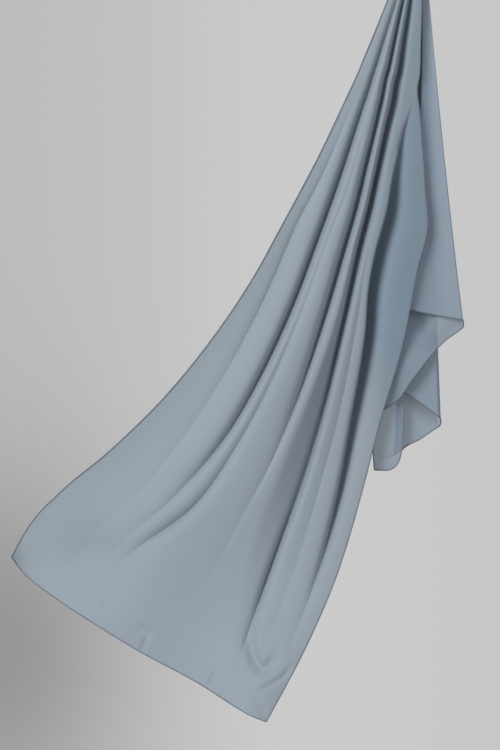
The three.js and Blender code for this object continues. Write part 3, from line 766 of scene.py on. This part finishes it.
def hem_piece(name, edge_points, seed):
    """A rolled hem round a path, with a stitch at each pitch."""
    path, far = even_path(edge_points, STITCH_PITCH / STEPS_A_STITCH)
    ahead = np.gradient(path, axis=0)
    ahead /= np.linalg.norm(ahead, axis=1, keepdims=True)
    side = np.cross(ahead, np.array([0.0, 1.0, 0.0]))
    side /= np.linalg.norm(side, axis=1, keepdims=True)
    up = np.cross(side, ahead)
    angle = np.linspace(0, 2 * math.pi, HEM_SIDES, endpoint=False)
    rng = np.random.default_rng(seed)
    knots = np.arange(0, far[-1] + 2 * UNEVEN["every"], UNEVEN["every"])
    uneven = np.interp(far, knots, rng.normal(0, UNEVEN["share"], len(knots)))[:, None]
    stitch = np.cos(2 * math.pi * far[:, None] / STITCH_PITCH + angle[None, :])
    radius = HEM_RADIUS * (1 + uneven - STITCH_DIP * np.clip(stitch, 0, 1) ** 4)
    rings = (
        path[:, None, :]
        + (radius * np.cos(angle))[..., None] * side[:, None, :]
        + (radius * np.sin(angle))[..., None] * up[:, None, :]
    )
    for end in (0, -1):
        rings[end] = mix(path[end], rings[end], CLOSED_END)
    return grid_piece(name, rings, (2 * math.pi * HEM_RADIUS * MM, far[-1] * MM), closed_across=True)


HEM_START_ROW = 2
HEMS = [
    {"name": "hem_wing_side", "node": "hem_flying_side", "path": wing_points[HEM_START_ROW:, 0]},
    {"name": "hem_wing_end", "node": "hem_flying_end", "path": wing_points[-1, :]},
    {"name": "hem_middle_edge", "node": "hem_middle_side", "path": wing_points[HEM_START_ROW:, -1]},
    {"name": "hem_fall_inner", "node": "hem_inner_side", "path": fall_points[HEM_START_ROW:, 0]},
    {"name": "hem_fall_end", "node": "hem_cascade_end", "path": fall_points[-1, :]},
    {"name": "hem_tail_edge", "node": "hem_tail_side", "path": fall_points[HEM_START_ROW:, -1]},
]
hems = {row["name"]: hem_piece(row["name"], row["path"], seed) for seed, row in enumerate(HEMS)}
print("hems:", {name: len(piece.data.polygons) * 2 for name, piece in hems.items()})

# %% [markdown]
# ## The gathered tip
#
# Where the scarf is held, its whole width is bunched into a small knob of tight pleats. It is one closed form
# here: rings of a squarish ellipse, with a groove wherever two pleats meet. The grooves at the front line up
# with the wing's valleys.

# %% The gathered tip
TIP_RINGS = [
    {"z": -22.5, "across": 17.0, "deep": 14.0, "groove": 0.12},
    {"z": -21.0, "across": 19.6, "deep": 16.4, "groove": 0.15},
    {"z": -19.0, "across": 20.4, "deep": 17.2, "groove": 0.18},
    {"z": -14.0, "across": 17.0, "deep": 15.0, "groove": 0.2},
    {"z": -6.0, "across": 13.0, "deep": 11.5, "groove": 0.24},
    {"z": 3.0, "across": 10.5, "deep": 9.5, "groove": 0.28},
    {"z": 11.0, "across": 8.0, "deep": 7.5, "groove": 0.3},
    {"z": 15.5, "across": 5.0, "deep": 4.8, "groove": 0.3},
    {"z": 17.4, "across": 2.0, "deep": 2.0, "groove": 0.2},
    {"z": 17.9, "across": 0.2, "deep": 0.2, "groove": 0.0},
]
TIP_GROOVES = [
    {"angle": 214, "half": 11, "depth": 0.9},
    {"angle": 238, "half": 9, "depth": 1.0},
    {"angle": 262, "half": 8, "depth": 1.0},
    {"angle": 287, "half": 10, "depth": 0.8},
    {"angle": 312, "half": 8, "depth": 1.0},
    {"angle": 340, "half": 10, "depth": 0.9},
    {"angle": 8, "half": 9, "depth": 1.0},
    {"angle": 37, "half": 12, "depth": 0.8},
    {"angle": 68, "half": 10, "depth": 1.0},
    {"angle": 101, "half": 11, "depth": 0.7},
    {"angle": 130, "half": 9, "depth": 1.0},
    {"angle": 158, "half": 10, "depth": 0.9},
    {"angle": 186, "half": 9, "depth": 0.8},
]
TIP_SQUARENESS = 3
TIP_SIDES = 220
TIP_RING_STEPS = 60

tip_angle = np.linspace(0, 2 * math.pi, TIP_SIDES, endpoint=False)
groove = np.zeros(TIP_SIDES)
for row in TIP_GROOVES:
    off = (np.degrees(tip_angle) - row["angle"] + 180) % 360 - 180
    groove = np.maximum(groove, row["depth"] * np.exp(-((off / row["half"]) ** 2)))
tip_step = np.linspace(0, len(TIP_RINGS) - 1, TIP_RING_STEPS)
ring_number = np.arange(len(TIP_RINGS))
ring = {
    name: np.interp(tip_step, ring_number, [row[name] for row in TIP_RINGS]) for name in TIP_RINGS[0]
}
square = (
    np.abs(np.cos(tip_angle)) ** TIP_SQUARENESS + np.abs(np.sin(tip_angle)) ** TIP_SQUARENESS
) ** (-1 / TIP_SQUARENESS)
reach = square[None, :] * (1 - ring["groove"][:, None] * groove[None, :])
tip_points = np.stack([
    ring["across"][:, None] * reach * np.cos(tip_angle),
    ring["deep"][:, None] * reach * np.sin(tip_angle),
    ring["z"][:, None] + 0 * reach,
], axis=-1)
tip = grid_piece("tip_pleats", tip_points, (0.1, 0.04), closed_across=True)
print("tip:", len(tip.data.polygons) * 2, "triangles")

# %% [markdown]
# ## Finishes shared by every stretch
#
# Crepe chiffon is woven from hard-twisted yarn. Close up it has an open plain weave and a fine pebbly grain,
# and the dye is never quite even. A photo of cloth could be wrapped round the meshes instead, but its size
# would be fixed. These are node groups with named inputs, built once and used in every material. They give
# only masks and heights.

# %% Shared finishes
PEBBLES_A_METRE = 700.0
FINE_PEBBLES = {"share": 0.4, "times": 2.7}
THREAD_PITCH = 0.00055
PATCHES_A_METRE = 5.0


def effect(name, inputs, outputs):
    """A new node group with its sockets, and its input and output nodes."""
    group = bpy.data.node_groups.new(name, "ShaderNodeTree")
    for socket, value in inputs.items():
        made = group.interface.new_socket(socket, in_out="INPUT", socket_type="NodeSocketFloat")
        made.default_value = value
    for socket in outputs:
        group.interface.new_socket(socket, in_out="OUTPUT", socket_type="NodeSocketFloat")
    return group, node(group, "NodeGroupInput"), node(group, "NodeGroupOutput")


def crepe_grain():
    """Pebbly grain: two sizes of noise, as a height from 0 to 1."""
    inputs = {"Pebbles a metre": PEBBLES_A_METRE, "Fine share": FINE_PEBBLES["share"]}
    group, given, result = effect("crepe_grain", inputs, ["Height"])
    place = node(group, "ShaderNodeTexCoord")
    coarse = node(group, "ShaderNodeTexNoise", Detail=2.0, Roughness=0.6)
    fine = node(group, "ShaderNodeTexNoise", Detail=1.0)
    for noise in (coarse, fine):
        group.links.new(place.outputs["Object"], noise.inputs["Vector"])
    group.links.new(given.outputs["Pebbles a metre"], coarse.inputs["Scale"])
    finer = sums(group, "MULTIPLY", given.outputs["Pebbles a metre"], FINE_PEBBLES["times"])
    group.links.new(finer, fine.inputs["Scale"])
    share = given.outputs["Fine share"]
    rest = sums(group, "SUBTRACT", 1.0, share)
    both = sums(
        group, "ADD",
        sums(group, "MULTIPLY", coarse.outputs[0], rest),
        sums(group, "MULTIPLY", fine.outputs[0], share),
    )
    group.links.new(both, result.inputs["Height"])
    return group


def plain_weave():
    """Crossed threads in the cloth's own flat coordinates: 1 on a thread, 0 in the holes."""
    group, given, result = effect("plain_weave", {"Thread pitch": THREAD_PITCH}, ["Threads"])
    place = node(group, "ShaderNodeUVMap", uv_map="cloth")
    axes = node(group, "ShaderNodeSeparateXYZ")
    group.links.new(place.outputs[0], axes.inputs[0])
    turn = sums(group, "DIVIDE", 2 * math.pi, given.outputs["Thread pitch"])
    warp = sums(group, "COSINE", sums(group, "MULTIPLY", axes.outputs["X"], turn))
    weft = sums(group, "COSINE", sums(group, "MULTIPLY", axes.outputs["Y"], turn))
    level = sums(group, "MULTIPLY_ADD", sums(group, "MAXIMUM", warp, weft), 0.5, 0.5)
    group.links.new(level, result.inputs["Threads"])
    return group


def uneven_dye():
    """Slow, faint change of tone over the cloth, from 0 to 1."""
    group, given, result = effect("uneven_dye", {"Patches a metre": PATCHES_A_METRE}, ["Tone"])
    place = node(group, "ShaderNodeTexCoord")
    noise = node(group, "ShaderNodeTexNoise", Detail=3.0, Roughness=0.55)
    group.links.new(place.outputs["Object"], noise.inputs["Vector"])
    group.links.new(given.outputs["Patches a metre"], noise.inputs["Scale"])
    group.links.new(noise.outputs[0], result.inputs["Tone"])
    return group


GRAIN, WEAVE, DYE = crepe_grain(), plain_weave(), uneven_dye()
print("shared finishes:", [group.name for group in (GRAIN, WEAVE, DYE)])

# %% [markdown]
# ## Materials
#
# The scarf is one dye lot, a dusty blue-grey, with a soft sheen. The wing looks solid, with a painted shade
# where cloth lies behind it. The fall's colour is painted lighter and bluer, for light that the wing keeps
# off it. The fall lets some of the light straight through, so it is paler where one layer hangs against the
# wall and deeper in colour where layers lie one behind the other. Transmission would bend that light as glass
# does, so it is a plain Alpha on the Principled shader. The rolled hems are many layers thick, and their
# darker colour is also a painted shade for the roll's shadowed underside. The gathered tip is many layers
# thick, so it is darker.

# %% Materials
FINISHES = [
    # "over" multiplies the wing's colour where cloth lies behind it: a painted shade
    {"name": "chiffon_wing", "colour": (0.302, 0.348, 0.392), "alpha": 0.985, "rough": 0.62, "sheen": 0.25,
     "grain": 0.10, "uneven": 0.10, "over": (0.74, 0.84, 0.91)},
    # The fall's colour is painted lighter and bluer than the wing's, for light that the wing's shadow keeps
    # off it
    {"name": "chiffon_fall", "colour": (0.300, 0.372, 0.448), "alpha": 0.86, "rough": 0.62, "sheen": 0.25,
     "grain": 0.10, "uneven": 0.10},
    # The hem's darker colour is partly painted shade for the roll's shadowed underside
    {"name": "rolled_hem", "colour": (0.180, 0.215, 0.255), "alpha": 1.0, "rough": 0.7, "sheen": 0.2,
     "grain": 0.25, "uneven": 0.20},
    {"name": "chiffon_gather", "colour": (0.235, 0.295, 0.350), "alpha": 1.0, "rough": 0.62, "sheen": 0.25,
     "grain": 0.15, "uneven": 0.16},
]
GRAIN_HEIGHT = 0.0004
THREADS_IN_HEIGHT = 0.35
TONE_SHARES = {"dye": 0.5, "grain": 0.5, "threads": 0.1}
ROUGHNESS_SPREAD = 0.12
SHEEN = {"rough": 0.5, "tint": (0.75, 0.85, 1.0, 1)}
SPECULAR = 0.25


def placed(tree, group, **values):
    """A shared effect in a material, with this material's values."""
    made = tree.nodes.new("ShaderNodeGroup")
    made.node_tree = group
    for name, value in values.items():
        made.inputs[name.replace("_", " ")].default_value = value
    return made


def cloth_finish(row):
    """The material for a row: its colour, varied by the dye, the grain and the threads."""
    material = bpy.data.materials.new(row["name"])
    material.use_nodes = True
    tree = material.node_tree
    shader = tree.nodes["Principled BSDF"]
    shader.inputs["Alpha"].default_value = row["alpha"]
    shader.inputs["Sheen Weight"].default_value = row["sheen"]
    shader.inputs["Sheen Roughness"].default_value = SHEEN["rough"]
    shader.inputs["Sheen Tint"].default_value = SHEEN["tint"]
    shader.inputs["Specular IOR Level"].default_value = SPECULAR
    # The three shared effects, then the tone that they give
    grain = placed(tree, GRAIN, Pebbles_a_metre=PEBBLES_A_METRE, Fine_share=FINE_PEBBLES["share"])
    weave = placed(tree, WEAVE, Thread_pitch=THREAD_PITCH)
    dye = placed(tree, DYE, Patches_a_metre=PATCHES_A_METRE)
    tone = sums(tree, "MULTIPLY", dye.outputs["Tone"], TONE_SHARES["dye"])
    tone = sums(tree, "MULTIPLY_ADD", grain.outputs["Height"], TONE_SHARES["grain"], tone)
    tone = sums(tree, "MULTIPLY_ADD", weave.outputs["Threads"], TONE_SHARES["threads"], tone)
    dark = [v * (1 - row["uneven"]) for v in row["colour"]]
    light = [min(v * (1 + row["uneven"]), 1) for v in row["colour"]]
    colour = node(tree, "ShaderNodeMix", data_type="RGBA")
    colour.inputs[6].default_value = (*dark, 1)
    colour.inputs[7].default_value = (*light, 1)
    tree.links.new(tone, colour.inputs[0])
    # Painted shade: the colour is darker and bluer where cloth lies behind the wing
    if "over" in row:
        behind = node(tree, "ShaderNodeAttribute", attribute_name="shade_of_layers_behind")
        painted_shade = node(tree, "ShaderNodeMix", data_type="RGBA", blend_type="MULTIPLY")
        painted_shade.inputs[7].default_value = (*row["over"], 1)
        tree.links.new(behind.outputs["Fac"], painted_shade.inputs[0])
        tree.links.new(colour.outputs[2], painted_shade.inputs[6])
        colour = painted_shade
    tree.links.new(colour.outputs[2], shader.inputs["Base Color"])
    smoothest = row["rough"] - ROUGHNESS_SPREAD / 2
    rough = sums(tree, "MULTIPLY_ADD", grain.outputs["Height"], ROUGHNESS_SPREAD, smoothest)
    tree.links.new(rough, shader.inputs["Roughness"])
    height = sums(tree, "MULTIPLY_ADD", weave.outputs["Threads"], THREADS_IN_HEIGHT, grain.outputs["Height"])
    bump = node(tree, "ShaderNodeBump", Strength=row["grain"], Distance=GRAIN_HEIGHT)
    tree.links.new(height, bump.inputs["Height"])
    tree.links.new(bump.outputs[0], shader.inputs["Normal"])
    return material


finishes = {row["name"]: cloth_finish(row) for row in FINISHES}
print("finishes:", sorted(finishes))

# %% [markdown]
# ## What each piece stands for
#
# Every piece rides on the scarf's one body, stands for its solids, and takes its finish from one of the
# record's slots. The two sheets' flat coordinates have the size that they were cut to.

# %% Pieces
WING_NODES = ["flying_panel", "middle_fold"]
FALL_NODES = ["cascade_front", "cascade_return", "second_fall", "second_return", "tail_link", "tail_strip"]


def settle(piece, finish, nodes):
    """Give a piece its finish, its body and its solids."""
    piece.data.materials.append(finishes[finish])
    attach(piece, "root")
    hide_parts(*nodes)


settle(wing, "chiffon_wing", WING_NODES)
settle(fall, "chiffon_fall", FALL_NODES)
settle(tip, "chiffon_gather", ["gathered_tip"])
for row in HEMS:
    settle(hems[row["name"]], "rolled_hem", [row["node"]])
print("slots:", sorted({row["name"] for row in FINISHES}))
